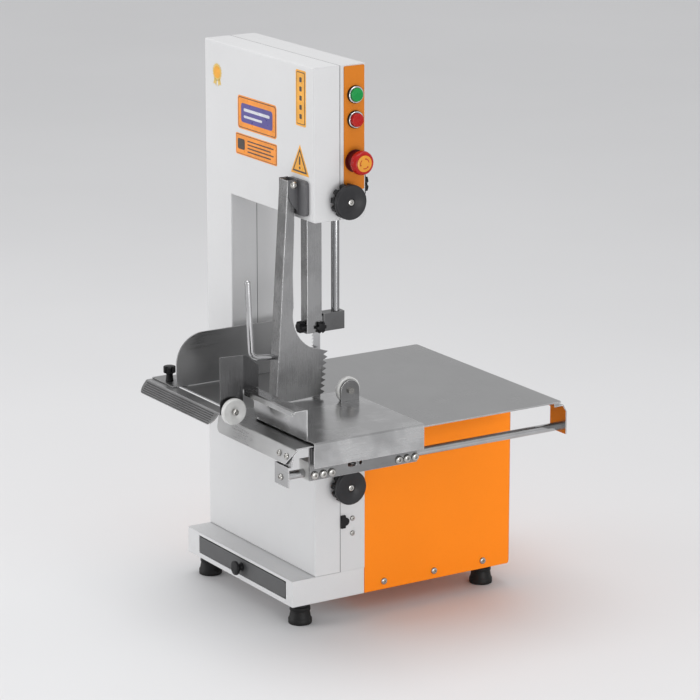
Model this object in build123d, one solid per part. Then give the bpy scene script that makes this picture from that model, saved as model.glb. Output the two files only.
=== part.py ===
from build123d import *
import math
import os

# Bench-top bone saw: a butcher's band saw with a sliding table and a hanging pusher arm.
# Every length is in millimetres. While it is drawn, X = 0 is the right face of the body,
# Y = 0 is the front face of the plinth and Z = 0 is the underside of the plinth.
# X points to the operator's right, Y away from the operator, Z up.

# ---- body and doors ----
BODY_LEFT = -349.4
BODY_TOP = 900.0
PLINTH_LEFT = -350.6
PLINTH_HEIGHT = 45.2
DOOR_FRONT = 43.8
SEAM = 93.3
SEAM_GAP = 0.3
BODY_REAR = 141.5
HEAD_BOTTOM = 646.8
COLUMN_RIGHT = -265.0
LOWER_BOX_TOP = 300.0
UPPER_DOOR_BOTTOM = 345.5
WALL = 2.0
FOOT_HEIGHT = 38.0
HINGE_X = BODY_LEFT - 5.0
HINGE_R = 5.0
PIN_R = 2.0

# ---- motor cabinet ----
CABINET_LEFT = -320.0
CABINET_REAR = 440.4
CABINET_TOP = 296.0

# ---- wheels and blade ----
WHEEL_R = 116.0
WHEEL_X = -176.4
LOWER_WHEEL_Z = 176.0
UPPER_WHEEL_Z = 768.0
WHEEL_FRONT = 71.0
WHEEL_REAR = 97.0
AXLE_R = 12.0
BEARING_R = 22.0
RUNNING_FIT = 0.05
BLADE_FRONT = 76.0
BLADE_REAR = 92.0
BLADE_THICK = 0.7
BLADE_GAP = 0.3
TOOTH_PITCH = 5.4
TOOTH_DEPTH = 2.6

# ---- fixed table ----
TABLE_TOP = 336.0
TABLE_SHEET = 2.0
TABLE_LEFT = -306.0
TABLE_INNER_LEFT = -256.0
TABLE_RIGHT = 179.0
LIP_RIGHT = 185.0
TABLE_FOLD = -103.0
TABLE_REAR = 413.0
BLADE_SLOT_X = -60.0
SLOT_WIDTH = 4.0
FENCE_SLOT_Y = -76.5
FENCE_SLOT_WIDTH = 6.6

# ---- rail and sliding table ----
ROD_X = 150.0
ROD_Z = 284.5
ROD_R = 7.0
ROD_FRONT = -108.8
ROD_REAR = 418.0
SLIDER_TOP = 340.5
SLIDER_SHEET = 1.5
SLIDER_LEFT = -55.5
SLIDER_RIGHT = 182.0
SLIDER_FRONT = -68.0
SLIDER_REAR = 139.0
FLANGE_BOTTOM = 299.0
PUSH_WALL_TOP = 391.0
PUSH_WALL_LEFT = -2.0
PUSH_WALL_RIGHT = 162.0
PUSH_FLANGE_FRONT = -92.0
ROLLER_R = 21.8
ROLLER_Z = TABLE_TOP + 0.3 + ROLLER_R
FRONT_ROLLER_Y = -114.0
REAR_ROLLER_Y = 111.0
BAR_FACE = 170.0
BAR_BOTTOM = 275.8
SCREW_Z = 284.5
BUSH_SCREWS = (-61.0, -45.0, -29.0, 98.0, 113.5, 129.0)

# ---- thickness fence ----
FENCE_X = -231.6
FENCE_FRONT = -84.0
FENCE_REAR = 132.0
FENCE_TOP = 426.3
FENCE_CORNER_R = 52.0
FENCE_KNOB_X = -269.6

# ---- upper guide and blade guard ----
GUIDE_X = -60.5
GUIDE_Y = 122.0
GUIDE_R = 7.0
GUIDE_BOTTOM = 449.0
GUARD_LEFT = -69.0
GUARD_RIGHT = -51.0
GUARD_FRONT = 61.0
GUARD_REAR = 90.0
GUARD_TOP = 752.0
GUARD_SHEET = 1.5

# ---- pusher arm ----
PIVOT_Y = 30.3
PIVOT_Z = 704.7
PIVOT_R = 4.0
ARM_LEFT = -68.0
ARM_RIGHT = -42.0
ARM_SHEET = 1.5
ARM_TOP = 712.0
ARM_SWEEP_R = 362.7
ARM_LEAN = 0.0645
ARM_FRONT_AT_PIVOT = 19.5
ARM_TEETH = 8
ARM_TOOTH_PITCH = 9.7

# ---- controls and locks on the right-hand side ----
PANEL_FRONT = 100.8
PANEL_REAR = 139.2
PANEL_BOTTOM = 694.0
PANEL_TOP = 898.0
PANEL_SHEET = 1.5
BUTTON_Y = 121.0
START_Z = 851.0
STOP_Z = 810.0
ESTOP_Z = 742.0
LOCK_Y = 101.0
UPPER_LOCK_Z = 679.0
LOWER_LOCK_Z = 197.0
LOCK_R = 29.0

# ---- overall box, which puts the origin at the middle of the footprint, on the floor ----
OVERALL_LEFT = HINGE_X - HINGE_R
OVERALL_RIGHT = LIP_RIGHT
OVERALL_FRONT = FRONT_ROLLER_Y - ROLLER_R
OVERALL_REAR = CABINET_REAR + 18.0
CENTRE_X = (OVERALL_LEFT + OVERALL_RIGHT) / 2
CENTRE_Y = (OVERALL_FRONT + OVERALL_REAR) / 2


# ======================= helpers =======================

def slab(x, y, z):
    """A box between the given pairs of limits."""
    size = (x[1] - x[0], y[1] - y[0], z[1] - z[0])
    return Pos(x[0], y[0], z[0]) * Box(*size, align=(Align.MIN, Align.MIN, Align.MIN))


def bar(start, direction, radius, length):
    """A round bar that starts at a point and runs along a direction."""
    plane = Plane(origin=start, z_dir=direction)
    return plane * Cylinder(radius, length, align=(Align.CENTER, Align.CENTER, Align.MIN))


def taper(start, direction, radius, end_radius, length):
    """A round bar whose radius changes evenly along its length."""
    plane = Plane(origin=start, z_dir=direction)
    cone = Cone(radius, end_radius, length, align=(Align.CENTER, Align.CENTER, Align.MIN))
    return plane * cone


def side_plate(outline, x0, x1):
    """A plate in the YZ plane, from a closed list of (y, z) points."""
    wire = Polyline(*[(x0, y, z) for y, z in outline], close=True)
    return extrude(make_face(wire), amount=x1 - x0, dir=(1, 0, 0))


def front_plate(outline, y0, y1):
    """A plate in the XZ plane, from a closed list of (x, z) points."""
    wire = Polyline(*[(x, y0, z) for x, z in outline], close=True)
    return extrude(make_face(wire), amount=y1 - y0, dir=(0, 1, 0))


def flat_plate(outline, z0, z1):
    """A plate in the XY plane, from a closed list of (x, y) points."""
    wire = Polyline(*[(x, y, z0) for x, y in outline], close=True)
    return extrude(make_face(wire), amount=z1 - z0, dir=(0, 0, 1))


def folded(path, radius, sheet, plane, length, side):
    """Sheet metal folded along a path of (u, v) points, extruded along the plane's normal."""
    line = FilletPolyline(*path, radius=radius) if len(path) > 2 else Polyline(*path)
    profile = make_face(offset(line, amount=sheet, side=side))
    return extrude(plane * profile, amount=length, dir=plane.z_dir)


def hex_bolt(start, direction, across, height):
    """A hexagon bolt head."""
    plane = Plane(origin=start, z_dir=direction)
    return extrude(plane * RegularPolygon(across / 2, 6, major_radius=False), amount=height)


def button_head(start, direction, radius, height, socket):
    """A domed screw head with a hexagon socket."""
    plane = Plane(origin=start, z_dir=direction)
    head = Cylinder(radius, height, align=(Align.CENTER, Align.CENTER, Align.MIN))
    rim = head.edges().sort_by(Axis.Z)[-1]
    head = fillet(rim, height * 0.8)
    well = Pos(0, 0, height * 0.45) * extrude(RegularPolygon(socket / 2, 6), amount=height)
    return plane * (head - well)


def lobed_knob(start, direction, radius, height, lobes, notch):
    """A disc knob with round notches in its rim."""
    plane = Plane(origin=start, z_dir=direction)
    disc = Cylinder(radius, height, align=(Align.CENTER, Align.CENTER, Align.MIN))
    ends = disc.edges().filter_by(GeomType.CIRCLE)
    disc = fillet(ends, min(2.0, height * 0.2))
    cuts = PolarLocations(radius + notch * 0.45, lobes)
    cutter = Cylinder(notch, height * 3)
    return plane * (disc - [place * cutter for place in cuts])


def export(node, *solids):
    """Write one node, moved so that the origin is under the middle of the machine."""
    move = Pos(-CENTRE_X, -CENTRE_Y, FOOT_HEIGHT)
    placed = [move * piece for shape in solids for piece in shape.solids()]
    target = placed[0] if len(placed) == 1 else Compound(children=placed)
    export_step(target, f"parts/{node}.step")


# ======================= plinth, feet, drawer =======================

def make_plinth():
    shell = slab((PLINTH_LEFT, 0), (0, BODY_REAR), (0, PLINTH_HEIGHT))
    shell = fillet(shell.edges().filter_by(Axis.Z), 2.0)
    hollow = slab((PLINTH_LEFT + WALL, -WALL), (WALL, BODY_REAR - WALL), (WALL, PLINTH_HEIGHT - WALL))
    window = slab((-310.5, -20.5), (-1, WALL + 1), (8.5, 40.0))
    return shell - hollow - window


def make_feet():
    feet = []
    for x, y in ((-25, 30), (-325, 30), (-35, 402), (-295, 402)):
        base = bar((x, y, -FOOT_HEIGHT), (0, 0, 1), 20, 8)
        neck = taper((x, y, -FOOT_HEIGHT + 8), (0, 0, 1), 20, 15, 22)
        top = bar((x, y, -FOOT_HEIGHT + 30), (0, 0, 1), 14, 8)
        foot = base + neck + top
        feet.append(fillet(foot.edges().sort_by(Axis.Z)[0], 2.0))
    return feet


DRAWER_LEFT = -308.5
DRAWER_RIGHT = -22.5


def make_drawer():
    front = slab((DRAWER_LEFT, DRAWER_RIGHT), (-0.5, 1.5), (10.3, 38.3))
    front = fillet(front.edges().filter_by(Axis.Y), 4.0)
    tray = slab((-302, -29), (1.5, 128), (10.3, 35))
    tray -= slab((-300.8, -30.2), (2.7, 126.8), (11.5, 40))
    return front + tray


def make_drawer_knob():
    stem = bar((-165, -0.5, 24.5), (0, -1, 0), 5, 8)
    head = bar((-165, -7.5, 24.5), (0, -1, 0), 10.5, 9)
    head = fillet(head.edges().filter_by(GeomType.CIRCLE), 2.0)
    return stem + head


# ======================= frame, doors, hinges =======================

FRAME_OUTLINE = [
    (BODY_LEFT, PLINTH_HEIGHT), (0, PLINTH_HEIGHT), (0, LOWER_BOX_TOP),
    (COLUMN_RIGHT, LOWER_BOX_TOP), (COLUMN_RIGHT, HEAD_BOTTOM), (0, HEAD_BOTTOM),
    (0, BODY_TOP), (BODY_LEFT, BODY_TOP),
]
UPPER_DOOR_OUTLINE = [
    (BODY_LEFT, UPPER_DOOR_BOTTOM), (COLUMN_RIGHT, UPPER_DOOR_BOTTOM),
    (COLUMN_RIGHT, HEAD_BOTTOM), (0, HEAD_BOTTOM), (0, BODY_TOP), (BODY_LEFT, BODY_TOP),
]
HINGE_HEIGHTS = {"upper": (420.0, 800.0), "lower": (80.0, 235.0)}
KNUCKLE = 18.0


def inset(outline, wall):
    """The same right-angled outline, moved inwards by a wall thickness."""
    count = len(outline)
    moved = []
    for i, (x, z) in enumerate(outline):
        before = outline[i - 1]
        after = outline[(i + 1) % count]
        dx_in = (x - before[0], z - before[1])
        dx_out = (after[0] - x, after[1] - z)
        normal = [0.0, 0.0]
        for run in (dx_in, dx_out):
            length = math.hypot(*run)
            normal[0] -= run[1] / length
            normal[1] += run[0] / length
        moved.append((x + wall * normal[0], z + wall * normal[1]))
    return moved


def knuckle(z, own_side):
    """One hinge knuckle with its leaf; own_side is +1 on the frame and -1 on a door."""
    barrel = bar((HINGE_X, SEAM, z), (0, 0, 1), HINGE_R, KNUCKLE)
    if own_side > 0:
        leaf = slab((HINGE_X, BODY_LEFT), (SEAM + SEAM_GAP, SEAM + HINGE_R), (z, z + KNUCKLE))
        leaf += slab((BODY_LEFT - 1.5, BODY_LEFT), (SEAM + SEAM_GAP, SEAM + 24), (z, z + KNUCKLE))
        bore = bar((HINGE_X, SEAM, z - 1), (0, 0, 1), PIN_R, KNUCKLE + 2)
    else:
        leaf = slab((HINGE_X, BODY_LEFT), (SEAM - HINGE_R, SEAM - SEAM_GAP), (z, z + KNUCKLE))
        leaf += slab((BODY_LEFT - 1.5, BODY_LEFT), (SEAM - 24, SEAM - SEAM_GAP), (z, z + KNUCKLE))
        bore = bar((HINGE_X, SEAM, z - 1), (0, 0, 1), PIN_R + RUNNING_FIT, KNUCKLE + 2)
    # The barrel is cut back to its own half wherever it would reach into the other sheet.
    if own_side > 0:
        barrel -= slab((BODY_LEFT - 0.3, BODY_LEFT + 5), (SEAM - 10, SEAM + SEAM_GAP), (z, z + KNUCKLE))
    else:
        barrel -= slab((BODY_LEFT - 0.3, BODY_LEFT + 5), (SEAM - SEAM_GAP, SEAM + 10), (z, z + KNUCKLE))
    return barrel + leaf - bore


def make_frame():
    shell = front_plate(FRAME_OUTLINE, SEAM, BODY_REAR)
    shell -= front_plate(inset(FRAME_OUTLINE, WALL), SEAM - 1, BODY_REAR - WALL)
    # A fixed belt closes the column in front, where the table passes between the two doors.
    belt = slab((BODY_LEFT, COLUMN_RIGHT), (DOOR_FRONT, SEAM), (LOWER_BOX_TOP + 0.6, UPPER_DOOR_BOTTOM - 0.6))
    belt -= slab((BODY_LEFT + WALL, COLUMN_RIGHT - WALL), (DOOR_FRONT + WALL, SEAM + 1), (290, 360))
    shell += belt
    # Ways for the blade, the guide rod, the motor shaft, the clamp and the two lock spindles.
    shell -= slab((-78, -44), (SEAM - 1, 133), (HEAD_BOTTOM - 1, HEAD_BOTTOM + WALL + 1))
    shell -= slab((-64, -56), (SEAM - 1, SEAM + 6), (LOWER_BOX_TOP - WALL - 1, LOWER_BOX_TOP + 1))
    shell -= bar((WHEEL_X, BODY_REAR - 10, LOWER_WHEEL_Z), (0, 1, 0), 20, 20)
    shell -= bar((GUIDE_X, BODY_REAR - 10, 690), (0, 1, 0), 4.4, 20)
    for z in (UPPER_LOCK_Z, LOWER_LOCK_Z):
        shell -= bar((-10, LOCK_Y, z), (1, 0, 0), 6.4, 20)
    for z in (START_Z, STOP_Z, ESTOP_Z):
        shell -= bar((-10, BUTTON_Y, z), (1, 0, 0), 9.5, 20)
    for heights in HINGE_HEIGHTS.values():
        for z in heights:
            shell += knuckle(z - KNUCKLE - SEAM_GAP, 1)
            shell += knuckle(z + KNUCKLE + SEAM_GAP, 1)
    return shell


def make_door(outline, hinge_heights):
    rear = SEAM - SEAM_GAP
    pan = front_plate(outline, DOOR_FRONT, rear)
    front_edges = [e for e in pan.edges() if abs(e.center().Y - DOOR_FRONT) < 0.01]
    pan = fillet(front_edges, 2.5)
    pan -= front_plate(inset(outline, WALL), DOOR_FRONT + WALL, rear + 1)
    for z in hinge_heights:
        pan += knuckle(z, -1)
    return pan


def return_way(z):
    """The slot that lets the blade's return run pass through a door's sheet at a height."""
    blade_x = WHEEL_X - WHEEL_R - BLADE_GAP
    return slab((blade_x - 7, blade_x + 7), (70, SEAM + 1), (z - WALL - 3, z + WALL + 3))


def make_upper_door():
    door = make_door(UPPER_DOOR_OUTLINE, HINGE_HEIGHTS["upper"])
    way = slab((-78, -44), (56, SEAM + 1), (HEAD_BOTTOM - 1, HEAD_BOTTOM + WALL + 3))
    return door - way - return_way(UPPER_DOOR_BOTTOM)


def make_lower_door():
    top = LOWER_BOX_TOP
    bottom = PLINTH_HEIGHT + 0.4
    outline = [(BODY_LEFT, bottom), (0, bottom), (0, top), (BODY_LEFT, top)]
    door = make_door(outline, HINGE_HEIGHTS["lower"])
    way = slab((-66, -54), (72, SEAM + 1), (top - WALL - 3, top + 1))
    return door - way - return_way(top)


def make_hinge_pins():
    pins = []
    for heights in HINGE_HEIGHTS.values():
        for z in heights:
            start = (HINGE_X, SEAM, z - KNUCKLE - SEAM_GAP)
            shank = bar(start, (0, 0, 1), PIN_R, 3 * KNUCKLE + 2 * SEAM_GAP)
            head_z = z + 2 * KNUCKLE + SEAM_GAP
            pins.append(shank + bar((HINGE_X, SEAM, head_z), (0, 0, 1), 3.4, 2))
    return pins


# ======================= motor cabinet and motor =======================

def make_cabinet():
    shell = slab((CABINET_LEFT, 0), (BODY_REAR, CABINET_REAR), (0, CABINET_TOP))
    rear_edges = [e for e in shell.edges() if e.center().Y > CABINET_REAR - 1]
    shell = fillet(rear_edges, 9.0)
    shell -= slab((CABINET_LEFT + WALL, -WALL), (BODY_REAR - 1, CABINET_REAR - WALL),
                  (WALL, CABINET_TOP - WALL))
    louvre = slab((-230, -90), (CABINET_REAR - 10, CABINET_REAR + 10), (0, 4))
    for i in range(7):
        shell -= Pos(0, 0, 150 + 14 * i) * louvre
    shell -= bar((-275, CABINET_REAR - 10, 60), (0, 1, 0), 8, 20)
    return shell


def make_motor():
    flange = bar((WHEEL_X, BODY_REAR, LOWER_WHEEL_Z), (0, 1, 0), 88, 12)
    stator = bar((WHEEL_X, BODY_REAR + 12, LOWER_WHEEL_Z), (0, 1, 0), 70, 175)
    fins = []
    for i in range(24):
        fin = slab((-1.2, 1.2), (BODY_REAR + 24, BODY_REAR + 176), (68, 78))
        fins.append(Pos(WHEEL_X, 0, LOWER_WHEEL_Z) * (Rot(0, i * 15, 0) * fin))
    box = slab((WHEEL_X - 45, WHEEL_X + 45), (BODY_REAR + 50, BODY_REAR + 140),
               (LOWER_WHEEL_Z + 60, LOWER_WHEEL_Z + 105))
    body = flange + stator + fins + box
    bore = bar((WHEEL_X, BODY_REAR - 1, LOWER_WHEEL_Z), (0, 1, 0), AXLE_R + RUNNING_FIT, 101)
    return body - bore


def make_fan_cowl():
    start = (WHEEL_X, BODY_REAR + 187.2, LOWER_WHEEL_Z)
    cowl = bar(start, (0, 1, 0), 76, 46)
    cowl = fillet(cowl.edges().sort_by(Axis.Y)[-1], 10)
    cowl -= bar(start, (0, 1, 0), 73.5, 42)
    ring = slab((-3, 3), (BODY_REAR + 200, BODY_REAR + 260), (24, 62))
    for i in range(16):
        cowl -= Pos(WHEEL_X, 0, LOWER_WHEEL_Z) * (Rot(0, i * 22.5, 0) * ring)
    return cowl


def make_gland():
    start = (-275, CABINET_REAR - 8, 60)
    body = bar(start, (0, 1, 0), 7.7, 8)
    nut = hex_bolt((-275, CABINET_REAR, 60), (0, 1, 0), 24, 6)
    dome = taper((-275, CABINET_REAR + 6, 60), (0, 1, 0), 10.5, 7.5, 12)
    bore = bar(start, (0, 1, 0), 4.2, 40)
    return body + nut + dome - bore


# ======================= wheels, blade, tension =======================

def make_wheel(z, bore_r):
    centre = (WHEEL_X, WHEEL_FRONT, z)
    width = WHEEL_REAR - WHEEL_FRONT
    wheel = bar(centre, (0, 1, 0), WHEEL_R, width)
    wheel -= bar((WHEEL_X, WHEEL_FRONT - 1, z), (0, 1, 0), WHEEL_R - 11, 10)
    wheel -= bar((WHEEL_X, WHEEL_REAR - 9, z), (0, 1, 0), WHEEL_R - 11, 10)
    wheel += bar((WHEEL_X, WHEEL_FRONT - 3, z), (0, 1, 0), 32, width + 6)
    for i in range(6):
        angle = math.radians(60 * i)
        spot = (WHEEL_X + 68 * math.cos(angle), WHEEL_FRONT - 5, z + 68 * math.sin(angle))
        wheel -= bar(spot, (0, 1, 0), 23, width + 10)
    wheel -= bar((WHEEL_X, WHEEL_FRONT - 10, z), (0, 1, 0), bore_r, width + 20)
    return wheel


def make_motor_shaft():
    shaft = bar((WHEEL_X, WHEEL_FRONT - 3, LOWER_WHEEL_Z), (0, 1, 0), AXLE_R, 150)
    washer = bar((WHEEL_X, WHEEL_FRONT - 6, LOWER_WHEEL_Z), (0, 1, 0), 20, 3)
    head = hex_bolt((WHEEL_X, WHEEL_FRONT - 6, LOWER_WHEEL_Z), (0, -1, 0), 19, 8)
    return shaft + washer + head


def make_upper_bearings():
    rings = []
    for y in (WHEEL_FRONT - 3, WHEEL_REAR - 9):
        start = (WHEEL_X, y, UPPER_WHEEL_Z)
        ring = bar(start, (0, 1, 0), BEARING_R, 12)
        rings.append(ring - bar(start, (0, 1, 0), AXLE_R + RUNNING_FIT, 12))
    return rings


CARRIAGE_REAR = 136.0


def make_upper_axle():
    axle = bar((WHEEL_X, 62, UPPER_WHEEL_Z), (0, 1, 0), AXLE_R, CARRIAGE_REAR - 62)
    cap = bar((WHEEL_X, 58.5, UPPER_WHEEL_Z), (0, 1, 0), 16, 3.5)
    return axle + cap


def make_carriage():
    block = slab((WHEEL_X - 30, WHEEL_X + 30), (104, CARRIAGE_REAR), (UPPER_WHEEL_Z - 40, UPPER_WHEEL_Z + 40))
    for side in (-1, 1):
        x = WHEEL_X + side * 30
        block += slab(sorted((x, x + side * 7)), (114, 126), (UPPER_WHEEL_Z - 40, UPPER_WHEEL_Z + 40))
    block -= bar((WHEEL_X, 100, UPPER_WHEEL_Z), (0, 1, 0), AXLE_R, 60)
    block -= bar((WHEEL_X, 119, UPPER_WHEEL_Z - 41), (0, 0, 1), 6.3, 28)
    return block


def make_tension_bracket():
    rails = []
    for side in (-1, 1):
        near = WHEEL_X + side * 30.4
        far = WHEEL_X + side * 48
        rail = slab(sorted((near, far)), (106, BODY_REAR - WALL), (UPPER_WHEEL_Z - 76, UPPER_WHEEL_Z + 48))
        groove = slab(sorted((near - side, WHEEL_X + side * 37.4)), (113.6, 126.4),
                      (UPPER_WHEEL_Z - 60, UPPER_WHEEL_Z + 50))
        rails.append(rail - groove)
    plate = slab((WHEEL_X - 48, WHEEL_X + 48), (106, BODY_REAR - WALL),
                 (UPPER_WHEEL_Z - 84, UPPER_WHEEL_Z - 76))
    plate -= bar((WHEEL_X, 119, UPPER_WHEEL_Z - 90), (0, 0, 1), 6.3, 20)
    return rails[0] + rails[1] + plate


def make_tension_screw():
    screw = bar((WHEEL_X, 119, UPPER_WHEEL_Z - 100), (0, 0, 1), 6, 75)
    grip = lobed_knob((WHEEL_X, 119, UPPER_WHEEL_Z - 104), (0, 0, 1), 15, 12, 8, 3)
    return screw + grip


def make_blade():
    inner = WHEEL_R + BLADE_GAP
    outer = inner + BLADE_THICK

    def loop(radius, y0, y1):
        ends = [bar((WHEEL_X, y0, z), (0, 1, 0), radius, y1 - y0) for z in (LOWER_WHEEL_Z, UPPER_WHEEL_Z)]
        middle = slab((WHEEL_X - radius, WHEEL_X + radius), (y0, y1), (LOWER_WHEEL_Z, UPPER_WHEEL_Z))
        return ends[0] + ends[1] + middle

    band = loop(outer, BLADE_FRONT + TOOTH_DEPTH, BLADE_REAR) - loop(inner, BLADE_FRONT, BLADE_REAR + 1)
    # Teeth point towards the operator and are cut along the working run only.
    root = BLADE_FRONT + TOOTH_DEPTH
    count = int((UPPER_WHEEL_Z - LOWER_WHEEL_Z) / TOOTH_PITCH)
    outline = [(root + 1, LOWER_WHEEL_Z), (root, LOWER_WHEEL_Z)]
    for i in range(count):
        z = LOWER_WHEEL_Z + i * TOOTH_PITCH
        outline.append((BLADE_FRONT, z + TOOTH_PITCH * 0.15))
        outline.append((root, z + TOOTH_PITCH))
    outline.append((root + 1, LOWER_WHEEL_Z + count * TOOTH_PITCH))
    return band + side_plate(outline, WHEEL_X + inner, WHEEL_X + outer)


def make_lower_guide():
    post = slab((-75, -45), (94, BODY_REAR - WALL), (262, 280))
    fork = slab((-75, -45), (80, 94), (262, 280))
    fork -= slab((-62, -57.5), (79, 95), (261, 281))
    return post + fork


def make_scrapers():
    pieces = []
    for x, z in ((WHEEL_X, LOWER_WHEEL_Z - WHEEL_R), (WHEEL_X + 2, LOWER_WHEEL_Z + WHEEL_R)):
        out = 1 if z > LOWER_WHEEL_Z else -1
        base = sorted((z + out * 1.6, z + out * 4.6))
        if out < 0:
            pieces.append(slab((x - 12, x + 12), (94, BODY_REAR - WALL), base))
    blade_x = WHEEL_X - WHEEL_R - BLADE_GAP - BLADE_THICK
    pieces.append(slab((blade_x - 14, blade_x - 0.6), (80, BODY_REAR - WALL), (228, 234)))
    return pieces


# ======================= upper guide =======================

def make_guide_bush():
    block = slab((GUIDE_X - 19, GUIDE_X + 19), (107, BODY_REAR - WALL), (654, 706))
    block -= bar((GUIDE_X, GUIDE_Y, 650), (0, 0, 1), GUIDE_R + RUNNING_FIT, 60)
    block -= bar((GUIDE_X, GUIDE_Y, 690), (0, 1, 0), 4.4, 30)
    return block


def make_guide_rod():
    rod = bar((GUIDE_X, GUIDE_Y, GUIDE_BOTTOM + 4), (0, 0, 1), GUIDE_R, 347)
    return chamfer(rod.edges().sort_by(Axis.Z)[-1], 1.0)


BLOCK_TOP = GUIDE_BOTTOM + 30


def make_guide_block():
    block = slab((-71, -51), (93, 135), (GUIDE_BOTTOM, BLOCK_TOP))
    block = fillet(block.edges().filter_by(Axis.Z), 2.0)
    block += slab((-58.4, GUARD_RIGHT - GUARD_SHEET), (78, 96), (GUIDE_BOTTOM, BLOCK_TOP - 4))
    block += slab((-66, -61.2), (78, 96), (GUIDE_BOTTOM, BLOCK_TOP - 4))
    nose = slab((-66, GUARD_RIGHT - GUARD_SHEET), (GUARD_FRONT + GUARD_SHEET, 72),
                (GUIDE_BOTTOM, BLOCK_TOP - 4))
    block += chamfer(nose.edges().filter_by(Axis.Z).sort_by(Axis.Y)[:2], 1.0)
    block += slab((-66, -61.2), (70, 80), (GUIDE_BOTTOM, BLOCK_TOP - 4))
    block -= bar((GUIDE_X, GUIDE_Y, GUIDE_BOTTOM + 4), (0, 0, 1), GUIDE_R, 60)
    block -= bar((-60, 86.7, 457.5), (1, 0, 0), 3.2, 20)
    block -= bar((-59.5, 50, 460), (0, 1, 0), 3.2, 22)
    return block


def make_guide_inserts():
    left = slab((-61.2, -60.35), (80, 91.5), (GUIDE_BOTTOM + 3, GUIDE_BOTTOM + 21))
    right = slab((-59.1, -58.4), (80, 91.5), (GUIDE_BOTTOM + 3, GUIDE_BOTTOM + 21))
    return [left, right]


def make_blade_guard():
    path = [(GUARD_LEFT, GUARD_FRONT), (GUARD_RIGHT, GUARD_FRONT), (GUARD_RIGHT, GUARD_REAR)]
    plane = Plane(origin=(0, 0, GUIDE_BOTTOM), z_dir=(0, 0, 1))
    guard = folded(path, 2.0, GUARD_SHEET, plane, GUARD_TOP - GUIDE_BOTTOM, Side.LEFT)
    guard -= bar((-60, 86.7, 457.5), (1, 0, 0), 3.2, 20)
    guard -= bar((-59.5, 50, 460), (0, 1, 0), 3.2, 22)
    return guard


def make_star_knob(start, direction, shank_start, shank_length, height):
    head = lobed_knob(start, direction, 10.5, height, 6, 3.2)
    return head + bar(shank_start, direction, 3.0, shank_length)


def make_front_star_knob():
    return make_star_knob((-59.5, 59.5, 460), (0, -1, 0), (-59.5, 69, 460), 0.1, 11) \
        + bar((-59.5, 69, 460), (0, -1, 0), 3.0, 12)


def make_side_star_knob():
    head = lobed_knob((-50.4, 86.7, 457.5), (1, 0, 0), 10.5, 6.0, 6, 3.2)
    return head + bar((-57.6, 86.7, 457.5), (1, 0, 0), 3.0, 9)


def make_guide_clamp():
    head = lobed_knob((GUIDE_X, 156, 690), (0, 1, 0), 18.5, 20, 8, 3.5)
    shank = bar((GUIDE_X, GUIDE_Y + GUIDE_R + 0.2, 690), (0, 1, 0), 4.0, 34)
    collar = bar((GUIDE_X, BODY_REAR + 0.6, 690), (0, 1, 0), 8.0, 15)
    return head + shank + collar


# ======================= table =======================

def make_table():
    outline = [
        (TABLE_LEFT, TABLE_FOLD + 3), (TABLE_RIGHT, TABLE_FOLD + 3), (TABLE_RIGHT, TABLE_REAR),
        (TABLE_INNER_LEFT, TABLE_REAR), (TABLE_INNER_LEFT, 40), (TABLE_LEFT, 40),
    ]
    top = flat_plate(outline, TABLE_TOP - TABLE_SHEET, TABLE_TOP)
    corners = [e for e in top.edges().filter_by(Axis.Z)
               if e.center().Y > 39 and not (abs(e.center().X - TABLE_INNER_LEFT) < 1 and e.center().Y < 41)]
    top = fillet(corners, 4.0)
    split_left = BLADE_SLOT_X - SLOT_WIDTH / 2
    split_right = BLADE_SLOT_X + SLOT_WIDTH / 2
    # The left lip slopes forwards as a rounded nose, the right lip hangs almost straight down.
    plane = Plane(origin=(TABLE_LEFT, 0, 0), x_dir=(0, 1, 0), z_dir=(1, 0, 0))
    nose_path = [(TABLE_FOLD + 6, TABLE_TOP), (TABLE_FOLD + 2, TABLE_TOP), (TABLE_FOLD - 14, 317)]
    nose = folded(nose_path, 5.0, TABLE_SHEET, plane, split_left - TABLE_LEFT, Side.LEFT)
    nose_ends = [slab((x, x + 14), (-125, -100), (312, 330)) for x in (TABLE_LEFT, split_left - 14)]
    nose -= nose_ends[0] - bar((TABLE_LEFT + 14, -127, 330), (0, 1, 0), 14, 30)
    nose -= nose_ends[1] - bar((split_left - 14, -127, 330), (0, 1, 0), 14, 30)
    plane = Plane(origin=(split_right, 0, 0), x_dir=(0, 1, 0), z_dir=(1, 0, 0))
    lip = folded([(TABLE_FOLD + 6, TABLE_TOP), (TABLE_FOLD, TABLE_TOP), (TABLE_FOLD - 5, 307)],
                 2.6, TABLE_SHEET, plane, LIP_RIGHT - split_right, Side.LEFT)
    lip -= slab((TABLE_RIGHT, 190), (TABLE_FOLD + 2.2, -90), (330, 340))
    lip -= front_plate([(189, 300), (189, 338), (158, 306.9), (158, 300)], -112, -95)
    lip_corner = slab((split_right, split_right + 12), (-112, -104), (306, 319))
    lip -= lip_corner - bar((split_right + 12, -115, 319), (0, 1, 0), 12, 15)
    table = top + nose + lip
    table -= slab((split_left, split_right), (-140, BLADE_REAR + 4), (300, 340))
    fence_slot = slab((-296, -84), (FENCE_SLOT_Y - FENCE_SLOT_WIDTH / 2, FENCE_SLOT_Y + FENCE_SLOT_WIDTH / 2),
                      (330, 340))
    table -= fillet(fence_slot.edges().filter_by(Axis.Z), 3.2)
    for x in (138, 160):
        table -= bar((x, -115, 320.6), (0, 1, 0), 2.6, 15)
    return table


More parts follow.
